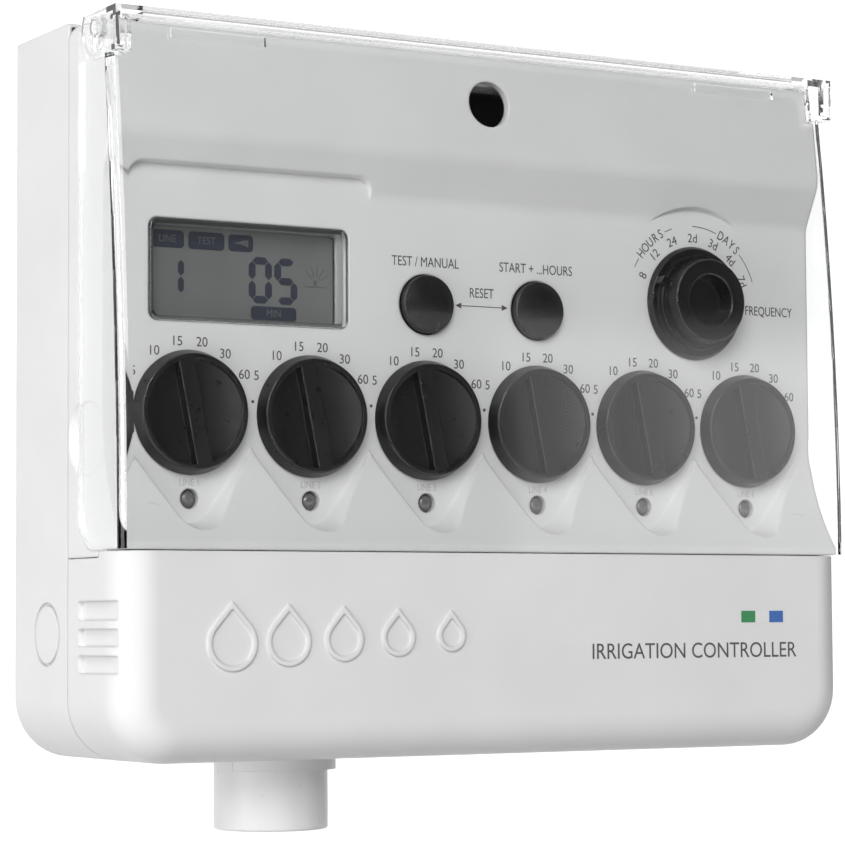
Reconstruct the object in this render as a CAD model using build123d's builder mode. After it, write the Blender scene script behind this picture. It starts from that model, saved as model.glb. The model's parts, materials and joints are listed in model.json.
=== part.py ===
from build123d import *
import os
from math import cos, radians, sin, sqrt

# Wall-mounted irrigation controller: six zone dials, a frequency dial, two buttons and a
# display on a raised panel under a clear hinged lid, with a wiring compartment below it.
#
# Millimetres. X runs to the right as seen from the front, Y runs into the wall, Z is up.
# The origin is the centre of the back face. A name that starts with F_ is a distance in
# front of the wall, so it lies at Y = -F. A height above the casing's underside is turned
# into Z by height().

# Casing
WIDTH = 225.0
HEIGHT = 190.0
BOTTOM = -HEIGHT / 2
TOP = HEIGHT / 2
BACK_WALL = 3.0
WALL = 2.8
TOP_CORNER_R = 5.0
BOTTOM_CORNER_R = 16.0
F_SPLIT = 35.0
SPLIT_GAP = 0.4
F_FRONT_SHELL = F_SPLIT + SPLIT_GAP
INSET_X = WIDTH / 2 - 2.4

# Panel
F_PANEL = 54.0
PANEL_THICKNESS = 2.5
F_PANEL_BACK = F_PANEL - PANEL_THICKNESS
SHELL_FOOT = BOTTOM + 51.8
SHELL_LIP_Z = BOTTOM + 53.5

# Terminal cover
COVER_TOP = BOTTOM + 51.6
COVER_FRONT_TOP = BOTTOM + 53.2
F_COVER = 68.0
COVER_EDGE_R = 10.0
COVER_WALL = 2.5

# Lid
F_LID = 68.5
LID_BOTTOM_H = 53.6
LID_BOTTOM = BOTTOM + LID_BOTTOM_H
LID_LEAN = 0.0005
LID_TOP = TOP
LID_WALL = 2.0
F_LID_REAR = 42.0
LID_CORNER_R = 10.0
LID_EDGE_R = 3.4
HINGE_F = 51.5
HINGE_Z = TOP - 3.7
HINGE_GAP = 0.4
BARREL_R = 3.0
EAR_WIDTH = 4.3
EAR_REAR_R = 8.0
EAR_DROP = 11.5
LUG_WIDTH = 5.0
PIN_R = 1.9
PIN_CLEARANCE = 0.06

# Controls
ZONES = 6
ZONE_PITCH = 35.0
ZONE_Z = BOTTOM + 88.7
ZONE_REST_DEG = -11.25
LED_Z = BOTTOM + 66.7
LED_R = 2.5
FREQUENCY_X = 2 * ZONE_PITCH
FREQUENCY_Z = BOTTOM + 124.3
FREQUENCY_REST_DEG = -67.5
BUTTON_X = ZONE_PITCH / 2
BUTTON_Z = BOTTOM + 119.7
BUTTON_R = 7.8
KNOB_R = 16.0
F_KNOB = F_PANEL + 0.5
SHAFT_R = 3.0
RUNNING = 0.05

# Display
LCD_X = -2 * ZONE_PITCH
LCD_Z = BOTTOM + 125.1
LCD_W = 57.8
LCD_H = 26.4

# Board behind the panel
F_BOARD = F_PANEL - 12.6
BOARD_T = 1.6
F_BOARD_FRONT = F_BOARD + BOARD_T

# Fixings and the conduit
SCREW_HOLE_Z = BOTTOM + 174.4
SCREW_HOLE_R = 6.3
UPPER_SCREWS = [(-99.0, TOP - 15.0), (99.0, TOP - 15.0)]
LOWER_SCREWS = [(-101.0, BOTTOM + 61.0), (101.0, BOTTOM + 61.0)]
CASING_SCREWS = UPPER_SCREWS + LOWER_SCREWS
WALL_HOLE_R = 2.5
LOWER_HOLE_X = 88.0
LOWER_HOLE_Z = BOTTOM + 24.0
COVER_SCREW_X = 88.0
F_COVER_SCREW = F_SPLIT + 5.0
SLEEVE_X = -50.0
SLEEVE_F = 27.0
SLEEVE_R = 15.2
SLEEVE_BORE_R = 12.6
SLEEVE_DROP = 19.4


def height(h):
    """Z of a point h above the underside of the casing."""
    return BOTTOM + h


def front_plane(f):
    """Plane parallel to the wall, f in front of it, that faces the user."""
    return Plane.XZ.offset(f)


def side_plane(x):
    """Plane across the width at X = x; its sketches take (Y, Z)."""
    return Plane.YZ.offset(x)


def zone_x(i):
    return (i - (ZONES - 1) / 2) * ZONE_PITCH


def lid_depth(h):
    """How far the lid's front face leans back at h above the underside of the casing."""
    rise = h - LID_BOTTOM_H
    return LID_LEAN * rise * rise


def save(builder, name):
    builder.part.label = name
    export_step(builder.part, f"parts/{name}.step")


def casing_outline(inset):
    """Front view of the casing, drawn in by inset."""
    with BuildSketch(mode=Mode.PRIVATE) as outline:
        Rectangle(WIDTH - 2 * inset, HEIGHT - 2 * inset)
        corners = outline.vertices().group_by(Axis.Y)
        fillet(corners[0], BOTTOM_CORNER_R - inset)
        fillet(corners[-1], TOP_CORNER_R - inset)
    return outline.sketch


def front_box(x0, x1, z0, z1, f0, f1, mode=Mode.ADD):
    """Box between two X, two Z and two distances in front of the wall."""
    with BuildSketch(front_plane(f0)) as profile:
        with Locations(((x0 + x1) / 2, (z0 + z1) / 2)):
            Rectangle(x1 - x0, z1 - z0)
    extrude(profile.sketch, amount=f1 - f0, mode=mode)


def front_disc(points, radius, f0, f1, mode=Mode.ADD):
    """Cylinders along Y about each (X, Z) point."""
    with BuildSketch(front_plane(f0)) as profile:
        with Locations(*points):
            Circle(radius)
    extrude(profile.sketch, amount=f1 - f0, mode=mode)


os.makedirs("parts", exist_ok=True)

# ---------------------------------------------------------------- rear shell

GASKET_OUT = 1.0
GASKET_WIDTH = 1.0
F_GASKET = F_SPLIT - 0.6
KNOCKOUT_R = 8.2
KNOCKOUT_F = 22.0
KNOCKOUT_Z = height(32.4)
BOARD_POSTS = [(-24.0, height(9)), (70.0, height(9)), (-24.0, height(52)), (70.0, height(52))]
F_POWER_BOARD = 7.0
CLAMP_POSTS = [(SLEEVE_X - 17, height(24)), (SLEEVE_X + 17, height(24))]
F_CLAMP = 15.0
BATTERY_X = (-92.0, -43.5)
BATTERY_Z = (height(96), height(122.5))
F_BATTERY = (BACK_WALL, BACK_WALL + 17.5)
BATTERY_RIB = 1.8

with BuildPart() as rear_shell:
    with BuildSketch(front_plane(0)):
        add(casing_outline(0))
    extrude(amount=F_SPLIT)
    fillet(rear_shell.faces().sort_by(Axis.Y)[-1].outer_wire().edges(), 1.6)
    with BuildSketch(front_plane(BACK_WALL)):
        add(casing_outline(WALL))
    extrude(amount=F_SPLIT, mode=Mode.SUBTRACT)
    front_disc(CASING_SCREWS, 4.6, BACK_WALL - 0.5, F_SPLIT)
    front_disc(BOARD_POSTS, 3.5, BACK_WALL - 0.5, F_POWER_BOARD)
    front_disc(CLAMP_POSTS, 4.0, BACK_WALL - 0.5, F_CLAMP)
    for z0 in (BATTERY_Z[0] - BATTERY_RIB, BATTERY_Z[1]):
        front_box(BATTERY_X[0], BATTERY_X[1], z0, z0 + BATTERY_RIB, BACK_WALL - 0.5, 14.0)
    for side in (-1, 1):
        x = side * COVER_SCREW_X
        front_box(x - 4.5, x + 4.5, BOTTOM + WALL, height(10.5), BACK_WALL - 0.5, F_COVER_SCREW + 4.5)
    # groove for the seal
    with BuildSketch(front_plane(F_GASKET)):
        add(casing_outline(GASKET_OUT))
        add(casing_outline(GASKET_OUT + GASKET_WIDTH), mode=Mode.SUBTRACT)
    extrude(amount=F_SPLIT, mode=Mode.SUBTRACT)
    # screw holes
    front_disc(CASING_SCREWS, 1.9, -1, F_SPLIT + 1, mode=Mode.SUBTRACT)
    front_disc(CASING_SCREWS, 3.4, -1, 3.2, mode=Mode.SUBTRACT)
    front_disc(BOARD_POSTS, 1.2, BACK_WALL, F_POWER_BOARD + 1, mode=Mode.SUBTRACT)
    front_disc(CLAMP_POSTS, 1.4, BACK_WALL, F_CLAMP + 1, mode=Mode.SUBTRACT)
    wall_holes = [(0, SCREW_HOLE_Z), (-LOWER_HOLE_X, LOWER_HOLE_Z), (LOWER_HOLE_X, LOWER_HOLE_Z)]
    front_disc(wall_holes, WALL_HOLE_R, -1, BACK_WALL + 1, mode=Mode.SUBTRACT)
    with BuildSketch(Plane.XY.offset(BOTTOM)):
        with Locations((-COVER_SCREW_X, -F_COVER_SCREW), (COVER_SCREW_X, -F_COVER_SCREW)):
            Circle(1.4)
    extrude(amount=12, mode=Mode.SUBTRACT)
    # opening that takes the conduit sleeve
    with BuildSketch(Plane.XY.offset(BOTTOM - 1)):
        with Locations((SLEEVE_X, -SLEEVE_F)):
            Circle(SLEEVE_R)
    extrude(amount=WALL + 2, mode=Mode.SUBTRACT)
    # thin rings of the knock-outs, one on each side
    for side in (-1, 1):
        with BuildSketch(side_plane(side * WIDTH / 2)):
            with Locations((-KNOCKOUT_F, KNOCKOUT_Z)):
                Circle(KNOCKOUT_R)
                Circle(KNOCKOUT_R - 0.7, mode=Mode.SUBTRACT)
        extrude(amount=-side * 0.7, mode=Mode.SUBTRACT)
save(rear_shell, "rear_shell")

with BuildPart() as casing_gasket:
    with BuildSketch(front_plane(F_GASKET)):
        add(casing_outline(GASKET_OUT))
        add(casing_outline(GASKET_OUT + GASKET_WIDTH), mode=Mode.SUBTRACT)
    extrude(amount=F_FRONT_SHELL - F_GASKET)
    with BuildSketch(Plane.XY.offset(BOTTOM - 1)):
        with Locations((SLEEVE_X, -SLEEVE_F)):
            Circle(SLEEVE_R)
    extrude(amount=WALL + 2, mode=Mode.SUBTRACT)
save(casing_gasket, "casing_gasket")

# ---------------------------------------------------------------- lid and its hinge

LID_INNER_X = WIDTH / 2 - 2.3
BAR_BOTTOM = TOP - 2.2
F_BAR = 64.3
EAR_BOTTOM = LID_TOP - EAR_DROP
EAR_INNER_X = WIDTH / 2 - EAR_WIDTH
LUG_INNER_X = EAR_INNER_X - HINGE_GAP - LUG_WIDTH
BARREL_END_X = LUG_INNER_X - HINGE_GAP
RECESS_X = (68.0, 95.0)
RECESS_Z = (height(183.7), height(186.2))
PROFILE_TOP_H = 188.2


def lid_front_arc(back, top_h):
    """Curved front of the lid, moved back towards the wall; top_h is where it ends."""
    middle_h = (LID_BOTTOM_H + top_h) / 2
    points = [(-(F_LID - back - lid_depth(h)), height(h)) for h in (LID_BOTTOM_H, middle_h, top_h)]
    ThreePointArc(*points)
    return points[0], points[-1]


with BuildPart() as lid:
    with BuildSketch(side_plane(-WIDTH / 2)) as lid_side:
        with BuildLine():
            low, high = lid_front_arc(0, PROFILE_TOP_H)
            Polyline(high, (-F_LID_REAR, high[1]), (-F_LID_REAR, LID_BOTTOM), low)
        make_face()
        rear_corner = lid_side.vertices().group_by(Axis.Y)[0].sort_by(Axis.X)[-1]
        fillet(rear_corner, LID_CORNER_R)
    extrude(amount=WIDTH)
    front_edges = lid.edges().filter_by(GeomType.CIRCLE).filter_by(lambda e: e.length > 100)
    fillet(front_edges, LID_EDGE_R)
    # hollow it: only the front and the two sides stay
    with BuildSketch(side_plane(-LID_INNER_X)):
        with BuildLine():
            low, high = lid_front_arc(LID_WALL, PROFILE_TOP_H)
            Polyline(high, (high[0], TOP + 5), (0, TOP + 5), (0, low[1] - 5), (low[0], low[1] - 5), low)
        make_face()
    extrude(amount=2 * LID_INNER_X, mode=Mode.SUBTRACT)
    # grip bar along the top, and the barrel that turns on the hinge line
    front_box(-WIDTH / 2, WIDTH / 2, BAR_BOTTOM, LID_TOP, HINGE_F + BARREL_R + 0.9, F_BAR)
    front_box(-BARREL_END_X, BARREL_END_X, BAR_BOTTOM, LID_TOP - 0.1, HINGE_F, F_BAR - 1)
    with BuildSketch(side_plane(-BARREL_END_X)):
        with Locations((-HINGE_F, HINGE_Z)):
            Circle(BARREL_R)
    extrude(amount=2 * BARREL_END_X)
    # ears that carry the pins, rounded about the hinge line
    for side in (-1, 1):
        with BuildSketch(side_plane(side * WIDTH / 2)):
            with Locations((-HINGE_F / 2, (EAR_BOTTOM + TOP) / 2)):
                Rectangle(HINGE_F, TOP - EAR_BOTTOM)
        extrude(amount=-side * EAR_WIDTH, mode=Mode.SUBTRACT)
        with BuildSketch(side_plane(side * WIDTH / 2)):
            with Locations((-(HINGE_F + F_BAR) / 2, (EAR_BOTTOM + LID_TOP) / 2)):
                Rectangle(F_BAR - HINGE_F, LID_TOP - EAR_BOTTOM)
            with Locations((-HINGE_F, HINGE_Z)):
                Circle(EAR_REAR_R)
            with Locations((-HINGE_F, LID_TOP + 10)):
                Rectangle(60, 20, mode=Mode.SUBTRACT)
            with Locations((-HINGE_F, EAR_BOTTOM - 10)):
                Rectangle(60, 20, mode=Mode.SUBTRACT)
        extrude(amount=-side * EAR_WIDTH)
        # hollow outer face of the ear, with a boss left about the pin
        with BuildSketch(side_plane(side * WIDTH / 2)):
            with Locations((-(HINGE_F + F_BAR) / 2, (EAR_BOTTOM + LID_TOP) / 2)):
                Rectangle(F_BAR - HINGE_F - 3.4, LID_TOP - EAR_BOTTOM - 3.0)
            with Locations((-HINGE_F, HINGE_Z)):
                Circle(EAR_REAR_R - 1.6)
            with Locations((-HINGE_F, LID_TOP + 8.5)):
                Rectangle(60, 20, mode=Mode.SUBTRACT)
            with Locations((-HINGE_F, EAR_BOTTOM - 8.5)):
                Rectangle(60, 20, mode=Mode.SUBTRACT)
            with Locations((-HINGE_F, HINGE_Z)):
                Circle(2.9, mode=Mode.SUBTRACT)
            with Locations((-HINGE_F, HINGE_Z - 6)):
                Rectangle(1.2, 12, mode=Mode.SUBTRACT)
        extrude(amount=-side * 1.8, mode=Mode.SUBTRACT)
        # hole for the pin
        with BuildSketch(side_plane(side * (WIDTH / 2 + 1))):
            with Locations((-HINGE_F, HINGE_Z)):
                Circle(PIN_R)
        extrude(amount=-side * (EAR_WIDTH + 1), mode=Mode.SUBTRACT)
        # shallow finger recess under the bar
        x0, x1 = sorted((side * RECESS_X[0], side * RECESS_X[1]))
        f_face = F_LID - lid_depth(185.0)
        front_box(x0, x1, RECESS_Z[0], RECESS_Z[1], f_face - 0.8, F_LID, mode=Mode.SUBTRACT)
save(lid, "lid")

with BuildPart() as hinge_pins:
    for side in (-1, 1):
        with BuildSketch(side_plane(side * (WIDTH / 2 - 1.0))):
            with Locations((-HINGE_F, HINGE_Z)):
                Circle(PIN_R)
        extrude(amount=-side * (EAR_WIDTH - 1.0 + HINGE_GAP + LUG_WIDTH - 0.4))
save(hinge_pins, "hinge_pins")

# ---------------------------------------------------------------- front shell

PANEL_TOP_H = 187.2
F_PANEL_TOP = F_LID - lid_depth(PANEL_TOP_H) - LID_WALL - 0.4
BROW_H = 160.0
F_BROW = F_LID - lid_depth(BROW_H) - LID_WALL - 0.6
SLOPE_FOOT_H = 147.5
BROW_R = 9.0
SLOPE_FOOT_R = 7.0
ARC_TOP_H = 83.0
ARC_MIDDLE = (F_PANEL + 4.6, 67.2)
ARC_FOOT_H = 55.5
F_SHELL_LIP = F_LID - LID_WALL - 0.8
F_CHANNEL_FRONT = HINGE_F + BARREL_R + 0.7
F_CHANNEL_BACK = HINGE_F - BARREL_R - 1.6
CHANNEL_Z = HINGE_Z - BARREL_R - 0.7
POCKET_DRAFT = -12.0
POCKET_R = 19.4
POCKET_TIP_R = 6.2
POCKET_LINING = 4.4
F_UPPER_BOSS = 56.2
F_LOWER_BOSS = 60.0
SCOOP_F = 46.0
SCOOP_Z = height(82.0)
SCOOP_R = 10.2


def shell_profile(f_back, inset):
    """Side view of the front shell in (Y, Z), from f_back to its panel, drawn in by inset."""
    with BuildSketch(mode=Mode.PRIVATE) as profile:
        with BuildLine():
            Polyline(
                (-f_back, SHELL_FOOT),
                (-F_PANEL, SHELL_FOOT),
                (-F_PANEL, SHELL_LIP_Z),
                (-F_SHELL_LIP, SHELL_LIP_Z),
                (-F_SHELL_LIP, height(ARC_FOOT_H)),
            )
            ThreePointArc(
                (-F_SHELL_LIP, height(ARC_FOOT_H)),
                (-ARC_MIDDLE[0], height(ARC_MIDDLE[1])),
                (-F_PANEL, height(ARC_TOP_H)),
            )
            Polyline(
                (-F_PANEL, height(ARC_TOP_H)),
                (-F_PANEL, height(SLOPE_FOOT_H)),
                (-F_BROW, height(BROW_H)),
                (-F_PANEL_TOP, height(PANEL_TOP_H)),
                (-F_CHANNEL_FRONT, height(PANEL_TOP_H)),
                (-F_CHANNEL_FRONT, CHANNEL_Z),
                (-F_CHANNEL_BACK, CHANNEL_Z),
                (-F_CHANNEL_BACK, TOP),
                (-f_back, TOP),
                (-f_back, SHELL_FOOT),
            )
        make_face()
        for f, h, radius in ((F_BROW, BROW_H, BROW_R), (F_PANEL, SLOPE_FOOT_H, SLOPE_FOOT_R)):
            fillet(profile.vertices().sort_by_distance((-f, height(h)))[0], radius)
        if inset:
            offset(amount=-inset, kind=Kind.INTERSECTION, mode=Mode.REPLACE)
    return profile.sketch


def drop_outline(i, f, grow):
    """Drop about one zone dial and its lamp, f in front of the wall, grown by grow."""
    with BuildSketch(front_plane(f), mode=Mode.PRIVATE) as drop:
        with Locations((zone_x(i), ZONE_Z)):
            Circle(POCKET_R + grow)
        with Locations((zone_x(i), LED_Z)):
            Circle(POCKET_TIP_R + grow)
        make_hull()
    return drop.sketch


# walls and floors of the drop-shaped pockets, up to the shell's own outline
with BuildPart(mode=Mode.PRIVATE) as pocket_walls:
    for i in range(ZONES):
        extrude(drop_outline(i, F_PANEL_BACK, POCKET_LINING), amount=F_LID - F_PANEL_BACK)
    with BuildSketch(side_plane(-INSET_X)):
        add(shell_profile(F_FRONT_SHELL, 0))
    extrude(amount=2 * INSET_X, mode=Mode.INTERSECT)

with BuildPart() as front_shell:
    with BuildSketch(side_plane(-WIDTH / 2)):
        add(shell_profile(F_FRONT_SHELL, 0))
    extrude(amount=WIDTH)
    # round the two top corners like the rear shell's
    top_corners = front_shell.edges().filter_by(Axis.Y).group_by(Axis.Z)[-1]
    fillet(top_corners, TOP_CORNER_R)
    # sides drawn in to take the lid's side walls and ears
    for side in (-1, 1):
        with BuildSketch(side_plane(side * WIDTH / 2)):
            with Locations((-(F_LID_REAR - HINGE_GAP + 40), (LID_BOTTOM + TOP) / 2)):
                Rectangle(80, TOP - LID_BOTTOM + 0.6)
            with Locations((-(F_LID_REAR - HINGE_GAP + 40), TOP)):
                Rectangle(80, 10)
        extrude(amount=-side * (WIDTH / 2 - INSET_X), mode=Mode.SUBTRACT)
        with BuildSketch(side_plane(side * WIDTH / 2)):
            with Locations((-HINGE_F, HINGE_Z)):
                Circle(EAR_REAR_R + HINGE_GAP)
            with Locations((-(HINGE_F + 40), (EAR_BOTTOM - HINGE_GAP + TOP + 5) / 2)):
                Rectangle(80, TOP + 5 - EAR_BOTTOM + HINGE_GAP)
        extrude(amount=-side * (EAR_WIDTH + HINGE_GAP), mode=Mode.SUBTRACT)
    # corner of white skin outside the lid's rounded rear corner
    for side in (-1, 1):
        with BuildSketch(side_plane(side * WIDTH / 2)):
            corner_f = F_LID_REAR - HINGE_GAP + LID_CORNER_R / 2
            with Locations((-corner_f, LID_BOTTOM - 0.3 + LID_CORNER_R / 2)):
                Rectangle(LID_CORNER_R, LID_CORNER_R)
            with Locations((-(F_LID_REAR + LID_CORNER_R), LID_BOTTOM + LID_CORNER_R)):
                Circle(LID_CORNER_R + HINGE_GAP, mode=Mode.SUBTRACT)
        extrude(amount=-side * (WIDTH / 2 - INSET_X + 0.5))
    # hollow inside
    inner = shell_profile(F_FRONT_SHELL - 30, PANEL_THICKNESS)
    with BuildSketch(side_plane(-(INSET_X - WALL))):
        add(inner)
    extrude(amount=2 * (INSET_X - WALL), mode=Mode.SUBTRACT)
    add(pocket_walls.part)
    # bosses for the casing screws, and the hole that leads to the upper wall screw
    for x, z in CASING_SCREWS:
        f_end = F_UPPER_BOSS if z > 0 else F_LOWER_BOSS
        front_disc([(x, z)], 4.2, F_FRONT_SHELL, f_end)
        front_disc([(x, z)], 1.5, F_FRONT_SHELL, F_FRONT_SHELL + 12, mode=Mode.SUBTRACT)
    front_disc([(0, SCREW_HOLE_Z)], SCREW_HOLE_R, F_PANEL, F_LID, mode=Mode.SUBTRACT)
    # hinge lugs
    for side in (-1, 1):
        with BuildSketch(side_plane(side * LUG_INNER_X)):
            with Locations((-HINGE_F, HINGE_Z)):
                Circle(3.4)
            with Locations((-HINGE_F, (HINGE_Z + CHANNEL_Z - 1) / 2)):
                Rectangle(6.8, HINGE_Z - CHANNEL_Z + 1)
        extrude(amount=side * LUG_WIDTH)
        with BuildSketch(side_plane(side * LUG_INNER_X)):
            with Locations((-HINGE_F, HINGE_Z)):
                Circle(PIN_R + PIN_CLEARANCE)
        extrude(amount=side * (LUG_WIDTH + 1), mode=Mode.SUBTRACT)
    # pockets that let the flat of the panel run under the sloping parts
    with BuildSketch(front_plane(F_PANEL)):
        with Locations((LCD_X + 0.25, height(122))):
            RectangleRounded(70.5, 60, 4)
        with Locations((FREQUENCY_X, FREQUENCY_Z)):
            Circle(26.7)
    extrude(amount=20, taper=POCKET_DRAFT, mode=Mode.SUBTRACT)
    # one drop-shaped pocket for each zone dial and its lamp
    for i in range(ZONES):
        extrude(drop_outline(i, F_PANEL, 0), amount=20, taper=POCKET_DRAFT, mode=Mode.SUBTRACT)
    # openings for the display, dials, buttons and lamps
    with BuildSketch(front_plane(F_PANEL + 1)):
        with Locations((LCD_X, LCD_Z)):
            RectangleRounded(LCD_W + 0.2, LCD_H + 0.2, 2.6)
        with Locations((FREQUENCY_X, FREQUENCY_Z)):
            Circle(5.5)
        with Locations((-BUTTON_X, BUTTON_Z), (BUTTON_X, BUTTON_Z)):
            Circle(BUTTON_R + 0.35)
        for i in range(ZONES):
            with Locations((zone_x(i), ZONE_Z)):
                Circle(5.5)
            with Locations((zone_x(i), LED_Z)):
                Circle(LED_R + 0.1)
    extrude(amount=-PANEL_THICKNESS - 2, mode=Mode.SUBTRACT)
    # finger scoops at the lid's rear edge
    for side in (-1, 1):
        with BuildSketch(side_plane(side * WIDTH / 2)):
            with Locations((-SCOOP_F, SCOOP_Z)):
                Circle(SCOOP_R)
        extrude(amount=-side * 2.6, taper=20, mode=Mode.SUBTRACT)
save(front_shell, "front_shell")

# ---------------------------------------------------------------- terminal cover

GROOVES = [(36.0, 40.8), (29.4, 33.8), (22.6, 27.1)]
GROOVE_DEPTH = 1.5
F_GROOVE = 42.0
EMBOSS = 0.45
EMBOSS_LINE = 1.3
EMBOSS_Z = height(34.0)
EMBOSS_H = 22.0
DROPS = 5
DROP_PITCH = 16.0
DROP_START_X = -82.0


def cover_form(f_back, f_front, top_z, inset):
    """Solid between two distances in front of the wall, rounded along its front edges."""
    with BuildPart(mode=Mode.PRIVATE) as form:
        with BuildSketch(front_plane(f_back)):
            add(casing_outline(inset))
            with Locations((0, top_z + HEIGHT / 2)):
                Rectangle(WIDTH * 2, HEIGHT, mode=Mode.SUBTRACT)
        extrude(amount=f_front - f_back)
        front_loop = form.faces().sort_by(Axis.Y)[0].outer_wire().edges()
        fillet(front_loop.filter_by(lambda e: e.center().Z < top_z - 0.01), COVER_EDGE_R - inset)
    return form.part


outer_form = cover_form(F_FRONT_SHELL, F_COVER, COVER_FRONT_TOP, 0)
inner_form = cover_form(0, F_COVER - COVER_WALL, COVER_TOP - COVER_WALL, COVER_WALL)

with BuildPart() as terminal_cover:
    add(outer_form)
    add(inner_form, mode=Mode.SUBTRACT)
    # the rear part of the top sits lower, under the front shell's edge
    front_box(-WIDTH, WIDTH, COVER_TOP, TOP, 0, F_PANEL + 0.3, mode=Mode.SUBTRACT)
    for z0, z1 in GROOVES:
        for side in (-1, 1):
            with BuildSketch(side_plane(side * WIDTH / 2)):
                with Locations((-(F_GROOVE + 20), height((z0 + z1) / 2))):
                    RectangleRounded(40, z1 - z0, 0.8)
            extrude(amount=-side * GROOVE_DEPTH, mode=Mode.SUBTRACT)
    # screw holes in the underside, and the notch about the conduit sleeve
    with BuildSketch(Plane.XY.offset(BOTTOM - 1)):
        with Locations((-COVER_SCREW_X, -F_COVER_SCREW), (COVER_SCREW_X, -F_COVER_SCREW)):
            Circle(1.9)
        with Locations((SLEEVE_X, -SLEEVE_F)):
            Circle(SLEEVE_R + 0.2)
    extrude(amount=COVER_WALL + 1.5, mode=Mode.SUBTRACT)
    with BuildSketch(Plane.XY.offset(BOTTOM - 1)):
        with Locations((-COVER_SCREW_X, -F_COVER_SCREW), (COVER_SCREW_X, -F_COVER_SCREW)):
            Circle(3.3)
    extrude(amount=2.2, mode=Mode.SUBTRACT)
    # raised row of water drops
    with BuildSketch(front_plane(F_COVER - 0.2)):
        for i in range(DROPS):
            x = DROP_START_X + i * DROP_PITCH
            size = EMBOSS_H * (1.0 - 0.1 * i)
            r = size * 0.32
            for scale_r, mode in ((1.0, Mode.ADD), (1.0 - EMBOSS_LINE / r, Mode.SUBTRACT)):
                with BuildSketch(mode=Mode.PRIVATE) as drop:
                    Circle(r * scale_r)
                    with Locations((0, (size - 1.7 * r) * scale_r)):
                        Circle(0.35 * scale_r)
                    make_hull()
                with Locations((x, EMBOSS_Z - size / 2 + r)):
                    add(drop.sketch, mode=mode)
    extrude(amount=0.2 + EMBOSS)
save(terminal_cover, "terminal_cover")

# ---------------------------------------------------------------- conduit sleeve

FLANGE_R = 17.4
FLANGE_T = 3.3
with BuildPart() as conduit_sleeve:
    with BuildSketch(Plane.XY.offset(BOTTOM - SLEEVE_DROP)):
        with Locations((SLEEVE_X, -SLEEVE_F)):
            Circle(SLEEVE_R)
    extrude(amount=SLEEVE_DROP + WALL + 1.4)
    # rim in front, under the cover
    with BuildSketch(Plane.XY.offset(BOTTOM - 0.3 - FLANGE_T)):
        with Locations((SLEEVE_X, -SLEEVE_F)):
            Circle(FLANGE_R)
        with Locations((SLEEVE_X, -F_SPLIT + 50)):
            Rectangle(100, 100, mode=Mode.SUBTRACT)
    extrude(amount=FLANGE_T)
    # ring inside that keeps the sleeve from pulling out, clear of the cover
    with BuildSketch(Plane.XY.offset(BOTTOM + WALL)):
        with Locations((SLEEVE_X, -SLEEVE_F)):
            Circle(SLEEVE_R + 2)
        with Locations((SLEEVE_X, -F_SPLIT - 50)):
            Rectangle(100, 100, mode=Mode.SUBTRACT)
    extrude(amount=1.4)
    with BuildSketch(Plane.XY.offset(BOTTOM - SLEEVE_DROP - 1)):
        with Locations((SLEEVE_X, -SLEEVE_F)):
            Circle(SLEEVE_BORE_R)
    extrude(amount=SLEEVE_DROP + WALL + 4, mode=Mode.SUBTRACT)
    mouth = conduit_sleeve.faces().sort_by(Axis.Z)[0].outer_wire().edges()
    fillet(mouth, 0.8)
save(conduit_sleeve, "conduit_sleeve")

# ---------------------------------------------------------------- screws

with BuildPart() as casing_screws:
    front_disc(CASING_SCREWS, 3.0, 0.6, 3.2)
    front_disc(CASING_SCREWS, 1.5, 3.2, F_FRONT_SHELL + 11)
    with BuildSketch(front_plane(0.6)):
        with Locations(*CASING_SCREWS):
            Rectangle(3.4, 0.7)
            Rectangle(0.7, 3.4)
    extrude(amount=1.2, mode=Mode.SUBTRACT)
save(casing_screws, "casing_screws")

with BuildPart() as cover_screws:
    spots = [(-COVER_SCREW_X, -F_COVER_SCREW), (COVER_SCREW_X, -F_COVER_SCREW)]
    with BuildSketch(Plane.XY.offset(BOTTOM + 0.1)):
        with Locations(*spots):
            Circle(2.9)
    extrude(amount=1.1)
    with BuildSketch(Plane.XY.offset(BOTTOM + 1.2)):
        with Locations(*spots):
            Circle(1.4)
    extrude(amount=8)
    with BuildSketch(Plane.XY.offset(BOTTOM + 0.1)):
        with Locations(*spots):
            Rectangle(3.4, 0.7)
            Rectangle(0.7, 3.4)
    extrude(amount=0.7, mode=Mode.SUBTRACT)
save(cover_screws, "cover_screws")

# ---------------------------------------------------------------- zone dials and their shafts

KNOB_H = 3.6
KNOB_FACE_R = 14.8
KNOB_RIM = 1.3
BAR_HALF = 2.15
BAR_EDGE_R = 0.35
SCOOP_DEPTH = 2.7
HUB_R = 5.0
F_SWITCH = F_PANEL - 4.0
F_HUB = F_SWITCH + 0.6
F_SHAFT = F_BOARD_FRONT + 0.9
SWITCH_SIZE = 13.0


def dial_plane(x, z, f, turn_deg):
    """Plane at a dial's centre, facing the user, turned clockwise as the user sees it."""
    turn = radians(turn_deg)
    return Plane(origin=(x, -f, z), x_dir=(cos(turn), 0, -sin(turn)), z_dir=(0, -1, 0))


def shaft_at(x, z, f_end):
    """Dial shaft, from inside its switch to inside its dial."""
    with BuildPart() as shaft:
        front_disc([(x, z)], SHAFT_R, F_SHAFT, f_end)
    return shaft


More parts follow.
